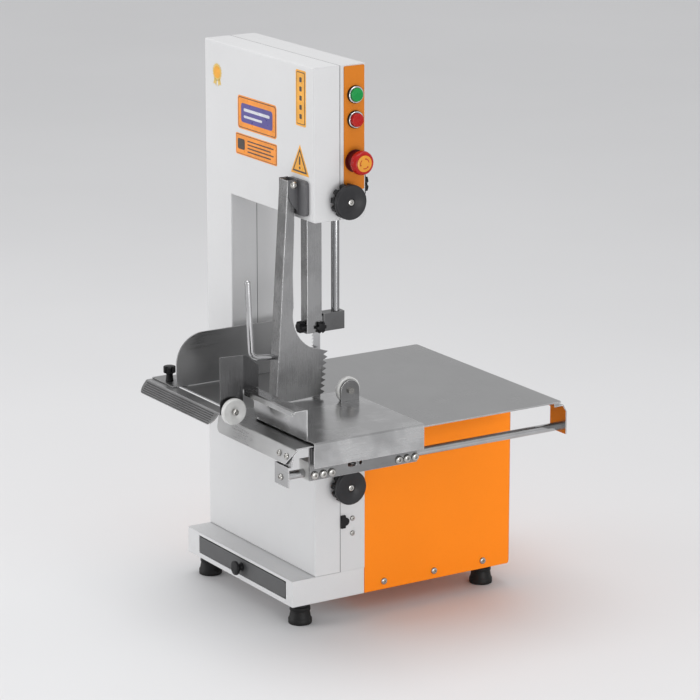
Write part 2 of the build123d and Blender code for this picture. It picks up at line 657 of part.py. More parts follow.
def make_table_supports():
    under = TABLE_TOP - TABLE_SHEET
    supports = []
    for y in (160, 380):
        beam = slab((-240, -8), (y, y + 30), (CABINET_TOP, under))
        beam -= slab((-241, -7), (y + 2, y + 28), (CABINET_TOP + 2, under - 2))
        supports.append(beam)
    # A console on the right-hand side of the frame carries the front of the table.
    console = side_plate([(96, 262), (138, 262), (138, under), (-96, under), (-96, under - 22)], 2, 5)
    console += slab((2, 34), (-96, 138), (under - 2, under))
    console += slab((0, 4), (96, 138), (262, under - 2))
    supports.append(console)
    return supports


def make_rail_rod():
    return bar((ROD_X, ROD_FRONT, ROD_Z), (0, 1, 0), ROD_R, ROD_REAR - ROD_FRONT)


def make_rail_brackets():
    front = slab((131, 173), (-110.8, -108.8), (271, 305))
    front = fillet(front.edges().filter_by(Axis.Y).sort_by(Axis.Z)[:2], 2.0)
    tab = side_plate([(-110.8, 305), (-105.0, 305.2), (-104.2, 309), (-102.0, 326), (-100.2, 326),
                      (-102.3, 307), (-103.4, 303.2), (-110.8, 303)], 131, 173)
    front += tab
    rear_outline = [(140, 280), (184, 280), (184, 319), (174, 328), (140, 328)]
    rear = front_plate(rear_outline, ROD_REAR, ROD_REAR + 2)
    rear += slab((150, 174), (402, ROD_REAR), (326, 328))
    rear += slab((152, 172), (403, TABLE_REAR), (328, TABLE_TOP - TABLE_SHEET))
    return [front, rear]


# ======================= sliding table =======================

def make_sliding_table():
    plane = Plane(origin=(0, SLIDER_FRONT, 0), x_dir=(1, 0, 0), z_dir=(0, -1, 0))
    path = [(SLIDER_RIGHT, FLANGE_BOTTOM), (SLIDER_RIGHT, SLIDER_TOP), (SLIDER_LEFT, SLIDER_TOP)]
    sheet = folded(path, 3.0, SLIDER_SHEET, plane, SLIDER_FRONT - SLIDER_REAR, Side.LEFT)
    under = SLIDER_TOP - SLIDER_SHEET
    sheet -= flat_plate([(-60, -70), (8, -70), (-4, -64), (-56, -36), (-60, -36)], under - 1, SLIDER_TOP + 1)
    sheet -= slab((-10.5, 1.4), (REAR_ROLLER_Y - 14.5, REAR_ROLLER_Y + 14.5), (under - 1, SLIDER_TOP + 1))
    sheet -= slab((1.3, 4.2), (REAR_ROLLER_Y - 17.8, REAR_ROLLER_Y + 17.8), (under - 1, SLIDER_TOP + 1))
    wall_plane = Plane(origin=(PUSH_WALL_LEFT, 0, 0), x_dir=(0, 1, 0), z_dir=(1, 0, 0))
    wall_path = [(PUSH_FLANGE_FRONT, PUSH_WALL_TOP - 10), (PUSH_FLANGE_FRONT, PUSH_WALL_TOP),
                 (SLIDER_FRONT, PUSH_WALL_TOP), (SLIDER_FRONT, under)]
    wall = folded(wall_path, 2.2, SLIDER_SHEET, wall_plane, PUSH_WALL_RIGHT - PUSH_WALL_LEFT, Side.RIGHT)
    corner = slab((PUSH_WALL_LEFT, PUSH_WALL_LEFT + 16), (-72, -60), (under + 0.2, under + 18))
    wall -= corner - bar((PUSH_WALL_LEFT + 16, -75, under + 18.2), (0, 1, 0), 16, 20)
    wall -= slab((155, 163), (-95, -90), (370, 387))
    wall -= bar((155, -95, 386), (0, 1, 0), 1.8, 8)
    notch = [(PUSH_WALL_LEFT - 1, 380), (PUSH_WALL_LEFT + 8, 380), (PUSH_WALL_LEFT - 1, 390)]
    wall -= front_plate(notch, -94, -90)
    return sheet + wall


def make_hand_guard():
    plane = Plane(origin=(0, 0, 350), z_dir=(0, 0, 1))
    guard = folded([(-2, -132.5), (4, -92.5), (4, -64)], 8.0, 1.5, plane, 100, Side.LEFT)
    outline = [(-140, 352.6), (-93.4, 352.6), (-93.4, PUSH_WALL_TOP), (-60, PUSH_WALL_TOP), (-60, 425),
               (-64.5, 427.5), (-86, 446.2), (-90, 447.7), (-131, 447.7), (-140, 446.5)]
    trimmed = guard & side_plate(outline, -10, 20)
    return trimmed - bar((-6, FRONT_ROLLER_Y, ROLLER_Z), (1, 0, 0), 3.2, 20)


def make_roller(x, y):
    roller = bar((x, y, ROLLER_Z), (1, 0, 0), ROLLER_R, 9)
    roller = fillet(roller.edges().filter_by(GeomType.CIRCLE), 2.0)
    roller -= taper((x + 7.4, y, ROLLER_Z), (1, 0, 0), 7, 17.5, 1.7)
    return roller - bar((x - 1, y, ROLLER_Z), (1, 0, 0), 4.05, 20)


def make_roller_bracket():
    centre_z = SLIDER_TOP + 18
    plate = slab((1.8, 3.8), (REAR_ROLLER_Y - 17.5, REAR_ROLLER_Y + 17.5), (SLIDER_TOP, centre_z))
    plate += bar((1.8, REAR_ROLLER_Y, centre_z), (1, 0, 0), 17.5, 2)
    foot = slab((1.8, 14), (REAR_ROLLER_Y - 17.5, REAR_ROLLER_Y + 17.5), (SLIDER_TOP - 3.5, SLIDER_TOP - 1.5))
    foot += slab((1.8, 3.8), (REAR_ROLLER_Y - 17.5, REAR_ROLLER_Y + 17.5), (SLIDER_TOP - 3.5, SLIDER_TOP))
    plate += foot
    return plate - bar((0, REAR_ROLLER_Y, ROLLER_Z), (1, 0, 0), 4.0, 8)


def make_slider_bar():
    strip = slab((BAR_FACE - 3, BAR_FACE), (-69.5, 133.5), (BAR_BOTTOM, 331))
    strip += slab((BAR_FACE, SLIDER_RIGHT - SLIDER_SHEET), (-66, 131), (303, 329))
    for y, radius in ((6, 4.6), (13, 4.6), (26, 3.4)):
        strip -= bar((BAR_FACE - 5, y, 291.5), (1, 0, 0), radius, 8)
    strip -= slab((BAR_FACE - 5, BAR_FACE + 3), (6, 13), (286.9, 296.1))
    return strip


def make_slider_bushes():
    blocks = []
    for y0, y1 in ((-69.5, -22.5), (91, 133.5)):
        block = slab((BAR_FACE - 31, BAR_FACE - 3), (y0, y1), (BAR_BOTTOM, 306))
        block = fillet(block.edges().filter_by(Axis.Y), 1.5)
        blocks.append(block - bar((ROD_X, y0 - 1, ROD_Z), (0, 1, 0), ROD_R + RUNNING_FIT, y1 - y0 + 2))
    return blocks


def make_slider_fasteners():
    screws = [button_head((BAR_FACE, y, SCREW_Z), (1, 0, 0), 6.9, 4.6, 6) for y in BUSH_SCREWS]
    rear_axle = bar((-10.2, REAR_ROLLER_Y, ROLLER_Z), (1, 0, 0), 4.0, 16)
    rear_axle += bar((-12.2, REAR_ROLLER_Y, ROLLER_Z), (1, 0, 0), 6.5, 2)
    rear_axle += hex_bolt((3.8, REAR_ROLLER_Y, ROLLER_Z), (1, 0, 0), 10, 5)
    front_axle = bar((-3.6, FRONT_ROLLER_Y, ROLLER_Z), (1, 0, 0), 3.2, 8.2)
    front_axle += bar((4.4, FRONT_ROLLER_Y, ROLLER_Z), (1, 0, 0), 4.0, 10.6)
    front_axle += bar((-6.6, FRONT_ROLLER_Y, ROLLER_Z), (1, 0, 0), 6.5, 3)
    front_axle += button_head((15, FRONT_ROLLER_Y, ROLLER_Z), (1, 0, 0), 5.5, 3.2, 5)
    return screws + [rear_axle, front_axle]


# ======================= thickness fence =======================

def make_fence():
    front = FENCE_FRONT
    arc_start = (FENCE_X, front, FENCE_TOP - FENCE_CORNER_R)
    arc_end = (FENCE_X, front + FENCE_CORNER_R, FENCE_TOP)
    bend = FENCE_CORNER_R * (1 - math.sqrt(0.5))
    arc_mid = (FENCE_X, front + bend, FENCE_TOP - bend)
    wire = [
        Line((FENCE_X, front, TABLE_TOP + 1.0), arc_start),
        ThreePointArc(arc_start, arc_mid, arc_end),
        Line(arc_end, (FENCE_X, FENCE_REAR, FENCE_TOP)),
        Line((FENCE_X, FENCE_REAR, FENCE_TOP), (FENCE_X, FENCE_REAR, TABLE_TOP + 1.0)),
        Line((FENCE_X, FENCE_REAR, TABLE_TOP + 1.0), (FENCE_X, front, TABLE_TOP + 1.0)),
    ]
    plate = extrude(make_face(wire), amount=2.0, dir=(-1, 0, 0))
    foot = slab((TABLE_LEFT, FENCE_X - 2), (-90, -62), (TABLE_TOP + 0.4, TABLE_TOP + 2.4))
    foot += slab((FENCE_X - 2, FENCE_X), (FENCE_FRONT, -62), (TABLE_TOP + 0.4, TABLE_TOP + 2.4))
    return plate + foot - bar((FENCE_KNOB_X, FENCE_SLOT_Y, TABLE_TOP - 2), (0, 0, 1), 3.2, 8)


def make_fence_knob():
    stem = bar((FENCE_KNOB_X, FENCE_SLOT_Y, TABLE_TOP + 2.5), (0, 0, 1), 6.0, 16)
    head = lobed_knob((FENCE_KNOB_X, FENCE_SLOT_Y, TABLE_TOP + 17), (0, 0, 1), 11, 12, 7, 3)
    screw = bar((FENCE_KNOB_X, FENCE_SLOT_Y, TABLE_TOP - 14), (0, 0, 1), 3.0, 20)
    nut = bar((FENCE_KNOB_X, FENCE_SLOT_Y, TABLE_TOP - 8.5), (0, 0, 1), 7.5, 6)
    return stem + head + screw + nut


# ======================= pusher arm =======================

def arm_front(z):
    """The leaning front face of the arm at a height."""
    return ARM_FRONT_AT_PIVOT + (z - PIVOT_Z) * ARM_LEAN


def sweep_z(y):
    """Height of the arm's lower edge, an arc about the pivot that just clears the table."""
    return PIVOT_Z - math.sqrt(ARM_SWEEP_R ** 2 - (y - PIVOT_Y) ** 2)


def make_pusher_arm():
    bottom_front = -3.5
    foot_rear = 85.0
    tooth_z = 349.5
    tips = [(89.6 + 0.104 * ARM_TOOTH_PITCH * i, tooth_z + ARM_TOOTH_PITCH * i) for i in range(ARM_TEETH)]
    lower_arc = ThreePointArc((bottom_front, sweep_z(bottom_front)), (PIVOT_Y, sweep_z(PIVOT_Y)),
                              (foot_rear, sweep_z(foot_rear)))
    comb = [(foot_rear, sweep_z(foot_rear))]
    for i, (y, z) in enumerate(tips):
        comb.append((y, z))
        if i < ARM_TEETH - 1:
            comb.append((y - 8.0, z + ARM_TOOTH_PITCH * 0.55))
    neck = ThreePointArc((61, 429.6), (38.5, 452), (30.5, 500))
    top_rear = (32.0, ARM_TOP)
    edges = [
        lower_arc, Polyline(*comb), Line(tips[-1], (61, 429.6)), neck,
        Polyline((30.5, 500), (29.3, 555), (32.5, 640), top_rear),
        Line(top_rear, (arm_front(ARM_TOP), ARM_TOP)),
        Line((arm_front(ARM_TOP), ARM_TOP), (bottom_front, sweep_z(bottom_front))),
    ]
    plane = Plane(origin=(ARM_RIGHT - ARM_SHEET, 0, 0), x_dir=(0, 1, 0), z_dir=(1, 0, 0))
    toothed = extrude(plane * make_face(edges), amount=ARM_SHEET)
    front_low = (bottom_front, sweep_z(bottom_front))
    front_high = (arm_front(ARM_TOP), ARM_TOP)
    face = side_plate([front_low, front_high, (front_high[0] + ARM_SHEET, ARM_TOP),
                       (bottom_front + ARM_SHEET, front_low[1])], ARM_LEFT, ARM_RIGHT)
    flange = side_plate([front_low, front_high, (front_high[0] + 12, ARM_TOP), (front_high[0] + 12, 690),
                         (bottom_front + 19, front_low[1] + 0.6)], ARM_LEFT, ARM_LEFT + ARM_SHEET)
    arm = toothed + face + flange
    corners = [e for e in arm.edges() if e.length > 300 and abs(e.center().Y - arm_front(e.center().Z)) < 0.3
               and (abs(e.center().X - ARM_LEFT) < 0.01 or abs(e.center().X - ARM_RIGHT) < 0.01)]
    arm = fillet(corners, 1.2)
    return arm - bar((ARM_LEFT - 2, PIVOT_Y, PIVOT_Z), (1, 0, 0), PIVOT_R + RUNNING_FIT, 40)


def make_pusher_handle():
    x = -58.0
    start = (x, arm_front(417) + 0.1, 417.3)
    path = FilletPolyline(start, (x, -41, 421.0), (x, -47, 548), radius=14)
    profile = Plane(origin=start, z_dir=path % 0) * Circle(5)
    rod = sweep(profile, path=path)
    return rod + Pos(x, -47, 548) * Sphere(5)


def make_arm_bracket():
    front = 37.5
    base = slab((-72, -14.5), (front, DOOR_FRONT), (655, 713))
    base = fillet(base.edges().filter_by(Axis.Y), 7.0)
    ears = []
    for x in (ARM_LEFT - 0.4 - 2.0, ARM_RIGHT + 0.4):
        outline = [(front, 713), (21, 713), (21, 686), (24, 678), (29, 670), (front, 661)]
        ears.append(side_plate(outline, x, x + 2.0))
    bracket = base + ears[0] + ears[1]
    return bracket - bar((-80, PIVOT_Y, PIVOT_Z), (1, 0, 0), PIVOT_R, 60)


def make_pivot_bolt():
    shank = bar((-73.5, PIVOT_Y, PIVOT_Z), (1, 0, 0), PIVOT_R, 34)
    washer = bar((-39.6, PIVOT_Y, PIVOT_Z), (1, 0, 0), 6.8, 1.2)
    head = button_head((-38.4, PIVOT_Y, PIVOT_Z), (1, 0, 0), 5.8, 4.0, 5)
    nut = hex_bolt((-70.4, PIVOT_Y, PIVOT_Z), (-1, 0, 0), 10, 5)
    return shank + washer + head + nut


# ======================= controls, locks, switch =======================

def make_control_panel():
    panel = slab((0, PANEL_SHEET), (PANEL_FRONT, PANEL_REAR), (PANEL_BOTTOM, PANEL_TOP))
    panel = fillet(panel.edges().filter_by(Axis.X), 2.0)
    for z in (START_Z, STOP_Z, ESTOP_Z):
        panel -= bar((-1, BUTTON_Y, z), (1, 0, 0), 9.5, 4)
    return panel


def make_bezels():
    rings = []
    for z in (START_Z, STOP_Z):
        ring = bar((PANEL_SHEET, BUTTON_Y, z), (1, 0, 0), 14.5, 5)
        ring = fillet(ring.edges().sort_by(Axis.X)[-1], 1.5)
        rings.append(ring - bar((0, BUTTON_Y, z), (1, 0, 0), 11.4, 10))
    return rings


def make_button(z, proud):
    cap = bar((PANEL_SHEET + 2.5, BUTTON_Y, z), (1, 0, 0), 11.0, proud)
    cap = fillet(cap.edges().sort_by(Axis.X)[-1], 1.5)
    return cap + bar((-2, BUTTON_Y, z), (1, 0, 0), 6.0, PANEL_SHEET + 5)


def make_estop_collar():
    collar = bar((PANEL_SHEET, BUTTON_Y, ESTOP_Z), (1, 0, 0), 18.6, 2)
    collar += taper((PANEL_SHEET + 2, BUTTON_Y, ESTOP_Z), (1, 0, 0), 15, 13.5, 8)
    return collar - bar((-1, BUTTON_Y, ESTOP_Z), (1, 0, 0), 8.6, 20)


def make_estop_stem():
    return bar((-3, BUTTON_Y, ESTOP_Z), (1, 0, 0), 8.3, 24) - bar((-4, BUTTON_Y, ESTOP_Z), (1, 0, 0), 3, 30)


def make_estop_head():
    head = bar((17.8, BUTTON_Y, ESTOP_Z), (1, 0, 0), 20, 14)
    head = fillet(head.edges().sort_by(Axis.X)[-1], 6.5)
    head -= bar((16, BUTTON_Y, ESTOP_Z), (1, 0, 0), 8.6, 5.3)
    return head


def make_lock_knob(z):
    knob = lobed_knob((3.2, LOCK_Y, z), (1, 0, 0), LOCK_R, 21.5, 18, 2.4)
    knob -= bar((16, LOCK_Y, z), (1, 0, 0), 4.2, 20)
    spindle = bar((-14, LOCK_Y, z), (1, 0, 0), 6.0, 26)
    cam = slab((-13, -9), (LOCK_Y - 7, LOCK_Y + 7), (z - 7, z + 7))
    screw = button_head((12, LOCK_Y, z), (1, 0, 0), 4.0, 3.0, 3)
    return knob + spindle + cam + screw


def make_interlock():
    body = slab((0, 4), (SEAM + 1, SEAM + 9), (122, 144))
    body += bar((0, SEAM + 9, 133), (1, 0, 0), 7, 4)
    return body


def make_frame_fasteners():
    heads = []
    for y in (180, 281, 381):
        heads.append(button_head((0, y, 14), (1, 0, 0), 6.0, 3.6, 5))
    for z in (110, 136):
        heads.append(button_head((0, 117.3, z), (1, 0, 0), 4.6, 2.8, 4))
    for x in (138, 160):
        head = button_head((x, -106.0, 320.6), (0, -1, 0.17), 5.2, 3.0, 4)
        heads.append(head + bar((x, -106.2, 320.6), (0, 1, -0.17), 2.3, 3.2))
    heads.append(button_head((ROD_X, -110.8, ROD_Z), (0, -1, 0), 5.4, 3.4, 5))
    heads.append(button_head((ROD_X, ROD_REAR + 2, ROD_Z), (0, 1, 0), 5.4, 3.4, 5))
    for x in (-290, -160, -30):
        heads.append(button_head((x, CABINET_REAR, 14), (0, 1, 0), 6.0, 3.6, 5))
    return heads


# ======================= write every node =======================

os.makedirs("parts", exist_ok=True)

export("base_plinth", make_plinth())
export("rubber_feet", *make_feet())
export("drawer_tray", make_drawer())
export("drawer_knob", make_drawer_knob())
export("main_frame", make_frame())
export("hinge_pins", *make_hinge_pins())
export("upper_door", make_upper_door())
export("lower_door", make_lower_door())
export("motor_cabinet", make_cabinet())
export("motor_housing", make_motor())
export("motor_fan_cowl", make_fan_cowl())
export("mains_gland", make_gland())
export("lower_wheel", make_wheel(LOWER_WHEEL_Z, AXLE_R))
export("upper_wheel", make_wheel(UPPER_WHEEL_Z, BEARING_R))
export("motor_shaft", make_motor_shaft())
export("upper_wheel_bearings", *make_upper_bearings())
export("upper_axle", make_upper_axle())
export("tension_carriage", make_carriage())
export("tension_bracket", make_tension_bracket())
export("tension_screw", make_tension_screw())
export("saw_blade", make_blade())
export("lower_blade_guide", make_lower_guide())
export("blade_scrapers", *make_scrapers())
export("post_guide_bush", make_guide_bush())
export("guide_rod", make_guide_rod())
export("guide_block", make_guide_block())
export("guide_inserts", *make_guide_inserts())
export("blade_guard", make_blade_guard())
export("front_star_knob", make_front_star_knob())
export("side_star_knob", make_side_star_knob())
export("guide_clamp_knob", make_guide_clamp())
export("table_top", make_table())
export("table_supports", *make_table_supports())
export("rail_rod", make_rail_rod())
export("rail_brackets", *make_rail_brackets())
export("sliding_table", make_sliding_table())
export("hand_guard", make_hand_guard())
export("front_roller", make_roller(5.2, FRONT_ROLLER_Y))
export("rear_roller", make_roller(-9.0, REAR_ROLLER_Y))
export("roller_bracket", make_roller_bracket())
export("slider_bar", make_slider_bar())
export("slider_bushes", *make_slider_bushes())
export("slider_fasteners", *make_slider_fasteners())
export("fence_plate", make_fence())
export("fence_knob", make_fence_knob())
export("pusher_arm", make_pusher_arm())
export("pusher_handle", make_pusher_handle())
export("arm_bracket", make_arm_bracket())
export("pivot_bolt", make_pivot_bolt())
export("control_panel", make_control_panel())
export("button_bezels", *make_bezels())
export("start_button", make_button(START_Z, 6.5))
export("stop_button", make_button(STOP_Z, 8.5))
export("estop_collar", make_estop_collar())
export("estop_stem", make_estop_stem())
export("estop_head", make_estop_head())
export("upper_lock_knob", make_lock_knob(UPPER_LOCK_Z))
export("lower_lock_knob", make_lock_knob(LOWER_LOCK_Z))
export("interlock_switch", make_interlock())
export("frame_fasteners", *make_frame_fasteners())
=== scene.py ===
import bmesh
import bpy
import math
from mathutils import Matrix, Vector


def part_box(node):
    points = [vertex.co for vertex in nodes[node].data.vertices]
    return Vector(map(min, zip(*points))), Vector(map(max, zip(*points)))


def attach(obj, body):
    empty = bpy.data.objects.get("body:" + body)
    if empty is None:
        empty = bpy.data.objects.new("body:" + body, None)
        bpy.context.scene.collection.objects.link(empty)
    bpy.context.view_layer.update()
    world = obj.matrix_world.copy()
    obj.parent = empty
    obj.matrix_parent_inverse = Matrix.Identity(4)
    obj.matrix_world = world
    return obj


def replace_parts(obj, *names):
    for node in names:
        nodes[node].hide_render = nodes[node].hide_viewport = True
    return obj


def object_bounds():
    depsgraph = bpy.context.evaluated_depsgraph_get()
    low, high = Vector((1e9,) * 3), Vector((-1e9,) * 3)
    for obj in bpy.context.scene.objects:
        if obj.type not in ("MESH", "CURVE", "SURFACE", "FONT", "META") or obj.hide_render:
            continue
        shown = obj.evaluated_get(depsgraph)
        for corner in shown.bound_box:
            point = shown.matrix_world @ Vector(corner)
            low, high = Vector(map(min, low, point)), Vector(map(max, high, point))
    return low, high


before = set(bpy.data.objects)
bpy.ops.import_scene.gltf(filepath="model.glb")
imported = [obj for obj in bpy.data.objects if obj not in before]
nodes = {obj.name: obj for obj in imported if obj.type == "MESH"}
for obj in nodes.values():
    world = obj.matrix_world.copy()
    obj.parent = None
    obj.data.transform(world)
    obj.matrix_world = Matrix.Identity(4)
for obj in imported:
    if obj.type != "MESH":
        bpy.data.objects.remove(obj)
cad_lo, cad_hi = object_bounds()

# Distances on the machine are given in millimetres from its right face, the plinth's front
# face and the plinth's underside.
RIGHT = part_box("main_frame")[1].x
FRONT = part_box("base_plinth")[0].y
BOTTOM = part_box("base_plinth")[0].z
MM = 0.001


# ======================= materials =======================

class Look:
    """A Principled material with short calls for the nodes that it needs."""

    def __init__(self, name, metallic=0.0, roughness=0.5, **fixed):
        self.mat = bpy.data.materials.new(name)
        self.mat.use_nodes = True
        self.tree = self.mat.node_tree
        self.shader = self.tree.nodes["Principled BSDF"]
        self.shader.inputs["Metallic"].default_value = metallic
        self.shader.inputs["Roughness"].default_value = roughness
        for key, value in fixed.items():
            self.shader.inputs[key.replace("_", " ")].default_value = value
        self.coords = self.add("ShaderNodeTexCoord")

    def add(self, kind, **inputs):
        node = self.tree.nodes.new(kind)
        for key, value in inputs.items():
            node.inputs[key.replace("_", " ")].default_value = value
        return node

    def link(self, out, into):
        self.tree.links.new(out, into)

    def noise(self, scale, detail=3.0, stretch=(1, 1, 1), rough=0.55):
        mapping = self.add("ShaderNodeMapping", Scale=stretch)
        self.link(self.coords.outputs["Object"], mapping.inputs["Vector"])
        node = self.add("ShaderNodeTexNoise", Scale=scale, Detail=detail, Roughness=rough)
        self.link(mapping.outputs["Vector"], node.inputs["Vector"])
        return node.outputs["Fac"]

    def ranged(self, value, low, high, start=0.25, end=0.75):
        node = self.add("ShaderNodeMapRange")
        node.inputs["From Min"].default_value = start
        node.inputs["From Max"].default_value = end
        node.inputs["To Min"].default_value = low
        node.inputs["To Max"].default_value = high
        self.link(value, node.inputs["Value"])
        return node.outputs["Result"]

    def math(self, operation, a, b):
        node = self.tree.nodes.new("ShaderNodeMath")
        node.operation = operation
        for socket, value in zip(node.inputs, (a, b)):
            if isinstance(value, (int, float)):
                socket.default_value = value
            else:
                self.link(value, socket)
        return node.outputs["Value"]

    def mix(self, factor, a, b):
        """Blend two colours; each is an (r, g, b) or another node's output."""
        node = self.tree.nodes.new("ShaderNodeMix")
        node.data_type = "RGBA"
        for name, value in (("A", a), ("B", b)):
            socket = [s for s in node.inputs if s.name == name and s.type == "RGBA"][0]
            if isinstance(value, tuple):
                socket.default_value = (*value, 1)
            else:
                self.link(value, socket)
        self.link(factor, node.inputs["Factor"])
        return [s for s in node.outputs if s.type == "RGBA"][0]

    def colour(self, out):
        self.link(out, self.shader.inputs["Base Color"])

    def roughness(self, out):
        self.link(out, self.shader.inputs["Roughness"])

    def bump(self, height, strength, depth, edge=0.0):
        node = self.add("ShaderNodeBump", Strength=strength, Distance=depth)
        self.link(height, node.inputs["Height"])
        if edge:
            soft = self.add("ShaderNodeBevel", Radius=edge)
            soft.samples = 4
            self.link(soft.outputs["Normal"], node.inputs["Normal"])
        self.link(node.outputs["Normal"], self.shader.inputs["Normal"])

    def edge_highlight_mask(self, radius):
        """1 on sharp edges and 0 on flats, from how far a rounded normal leans from the true one; it marks
        where a highlight is painted.
        """
        soft = self.add("ShaderNodeBevel", Radius=radius)
        soft.samples = 6
        true = self.tree.nodes.new("ShaderNodeNewGeometry")
        dot = self.tree.nodes.new("ShaderNodeVectorMath")
        dot.operation = "DOT_PRODUCT"
        self.link(soft.outputs["Normal"], dot.inputs[0])
        self.link(true.outputs["Normal"], dot.inputs[1])
        return self.ranged(dot.outputs["Value"], 1.0, 0.0, 0.78, 0.97)

    def part_of_axis(self, axis):
        split = self.add("ShaderNodeSeparateXYZ")
        self.link(self.coords.outputs["Object"], split.inputs["Vector"])
        return split.outputs[axis]


def shade(colour, factor):
    return tuple(min(1.0, c * factor) for c in colour)


def powder_coat(name, colour, seam=None, rough=0.42, gloss=0.45):
    """Sprayed powder: orange-peel grain, faint grime, edges rounded through a bevel normal."""
    look = Look(name, roughness=rough, Specular_IOR_Level=gloss)
    broad = look.noise(5.0, 4)
    base = look.mix(look.ranged(broad, 0, 1), shade(colour, 0.965), shade(colour, 1.02))
    fine = look.noise(260.0, 2)
    base = look.mix(look.ranged(fine, 0, 0.22, 0.55, 0.8), base, shade(colour, 0.90))
    if seam is not None:
        away = look.math("ABSOLUTE", look.math("SUBTRACT", look.part_of_axis("Y"), seam), 0)
        line = look.ranged(away, 0.85, 0, 0.0005, 0.0012)
        base = look.mix(line, base, (0.05, 0.05, 0.055))
    look.colour(base)
    look.roughness(look.ranged(look.noise(30.0, 3), rough - 0.06, rough + 0.08))
    peel = look.noise(850.0, 2)
    look.bump(peel, 0.18, 0.0004, edge=0.0009)
    return look.mat


def brushed(name, colour, along, rough=0.32, cloud=0.10, streak=0.22, edge=0.0006, wipe_scale=9.0, patch=1.22,
            highlight_radius=0.0014):
    """Brushed stainless sheet with its grain along one axis, cloudy wiping marks and a painted highlight
    along its sharp edges.
    """
    look = Look(name, metallic=1.0)
    stretch = tuple(0.012 if axis == along else 1.0 for axis in "XYZ")
    grain = look.noise(1500.0, 5, stretch, 0.7)
    coarse = look.noise(420.0, 4, stretch, 0.6)
    clouds = look.noise(wipe_scale, 5)
    base = look.mix(look.ranged(grain, 0, 1), shade(colour, 1 - streak), shade(colour, 1 + streak * 0.5))
    base = look.mix(look.ranged(coarse, 0, 0.3), base, shade(colour, 0.84))
    base = look.mix(look.ranged(clouds, 0, 0.5, 0.42, 0.62), base, shade(colour, patch))
    # Painted highlight: sharp edges get a colour 2.6 times brighter, standing in for the light they catch.
    look.colour(look.mix(look.edge_highlight_mask(highlight_radius), base, shade(colour, 2.6)))
    fine = look.ranged(grain, rough - 0.07, rough + 0.07)
    wipe = look.ranged(clouds, -cloud, cloud)
    look.roughness(look.math("ADD", fine, wipe))
    look.bump(grain, 0.05, 0.00015, edge=edge)
    return look.mat


def turned(name, colour, rough=0.2, metallic=1.0, scale=900.0, edge=0.0004):
    """Machined or plated metal with fine tool marks."""
    look = Look(name, metallic=metallic)
    marks = look.noise(scale, 4, (0.25, 1, 1))
    spots = look.noise(40.0, 3)
    base = look.mix(look.ranged(spots, 0, 1), shade(colour, 0.88), shade(colour, 1.08))
    look.colour(base)
    look.roughness(look.ranged(marks, rough - 0.05, rough + 0.09))
    look.bump(marks, 0.08, 0.0002, edge=edge)
    return look.mat


def plastic(name, colour, rough=0.45, grain=0.25, edge=0.0006, coat=0.0, sss=0.0, gloss=0.5):
    """Moulded plastic or rubber with a fine texture and dusty high spots."""
    look = Look(name, roughness=rough, Coat_Weight=coat, Subsurface_Weight=sss, Specular_IOR_Level=gloss)
    if sss:
        look.shader.inputs["Subsurface Radius"].default_value = (0.004, 0.004, 0.0035)
        look.shader.inputs["Subsurface Scale"].default_value = 0.5
    dust = look.noise(55.0, 4)
    base = look.mix(look.ranged(dust, 0, 1), shade(colour, 0.86), shade(colour, 1.18))
    look.colour(base)
    look.roughness(look.ranged(look.noise(120.0, 3), rough - 0.06, rough + 0.10))
    look.bump(look.noise(1400.0, 2), grain, 0.0003, edge=edge)
    return look.mat


WHITE = (0.635, 0.636, 0.641)
ORANGE = (0.97, 0.245, 0.004)
white_coat = powder_coat("white_powder_coat", WHITE)
door_coat = powder_coat("door_powder_coat", WHITE)
body_coat = powder_coat("body_powder_coat", shade(WHITE, 0.97), seam=FRONT + 93.3 * MM)
orange_coat = powder_coat("orange_powder_coat", ORANGE, rough=0.5, gloss=0.2)
# Painted shade: the control panel gets a darker copy of the cabinet orange, for the shade that falls on it.
panel_painted_shade = powder_coat("panel_shaded_orange_coat", (0.62, 0.185, 0.010), rough=0.5, gloss=0.2)
drawer_coat = powder_coat("drawer_powder_coat", (0.085, 0.086, 0.088), rough=0.5)
bracket_coat = powder_coat("bracket_powder_coat", (0.10, 0.10, 0.105), rough=0.4)
table_steel = brushed("table_steel", (0.345, 0.345, 0.347), "X", rough=0.34, streak=0.08)
slider_steel = brushed("slider_steel", (0.38, 0.38, 0.382), "Y", rough=0.22, cloud=0.10, streak=0.07,
                       wipe_scale=16.0, patch=1.5)
fence_steel = brushed("fence_steel", (0.26, 0.26, 0.262), "Y", rough=0.32, streak=0.10)
arm_steel = brushed("arm_steel", (0.27, 0.27, 0.272), "Z", rough=0.27, streak=0.10, edge=0.0016, highlight_radius=0.0022)
guard_steel = brushed("guard_steel", (0.27, 0.27, 0.272), "Z", rough=0.25, streak=0.10,
                      edge=0.0016, highlight_radius=0.0022)
grip_steel = brushed("grip_steel", (0.11, 0.11, 0.112), "X", rough=0.34, streak=0.10)
# Painted shade: the hand guard's steel is darkened to near black, standing in for the dark reflection and
# shade on its front.
painted_shade_plate_steel = brushed("painted_shade_plate_steel", (0.062, 0.062, 0.063), "Z", rough=0.22, streak=0.12, highlight_radius=0.0018)
bar_steel = brushed("bar_steel", (0.22, 0.22, 0.222), "Y", rough=0.34, streak=0.10)
bracket_steel = brushed("bracket_steel", (0.40, 0.40, 0.402), "X", rough=0.20, streak=0.08)
blade_steel = brushed("blade_steel", (0.48, 0.48, 0.49), "Z", rough=0.22)
chrome = turned("hard_chrome", (0.50, 0.50, 0.505), rough=0.12)
post_chrome = brushed("post_chrome", (0.26, 0.26, 0.265), "Z", rough=0.14, cloud=0.04, streak=0.05)
block_steel = brushed("block_steel", (0.13, 0.13, 0.132), "X", rough=0.32, streak=0.10)
bright_chrome = turned("bright_chrome", (0.78, 0.78, 0.79), rough=0.10)
zinc = turned("zinc_plating", (0.50, 0.49, 0.47), rough=0.22)
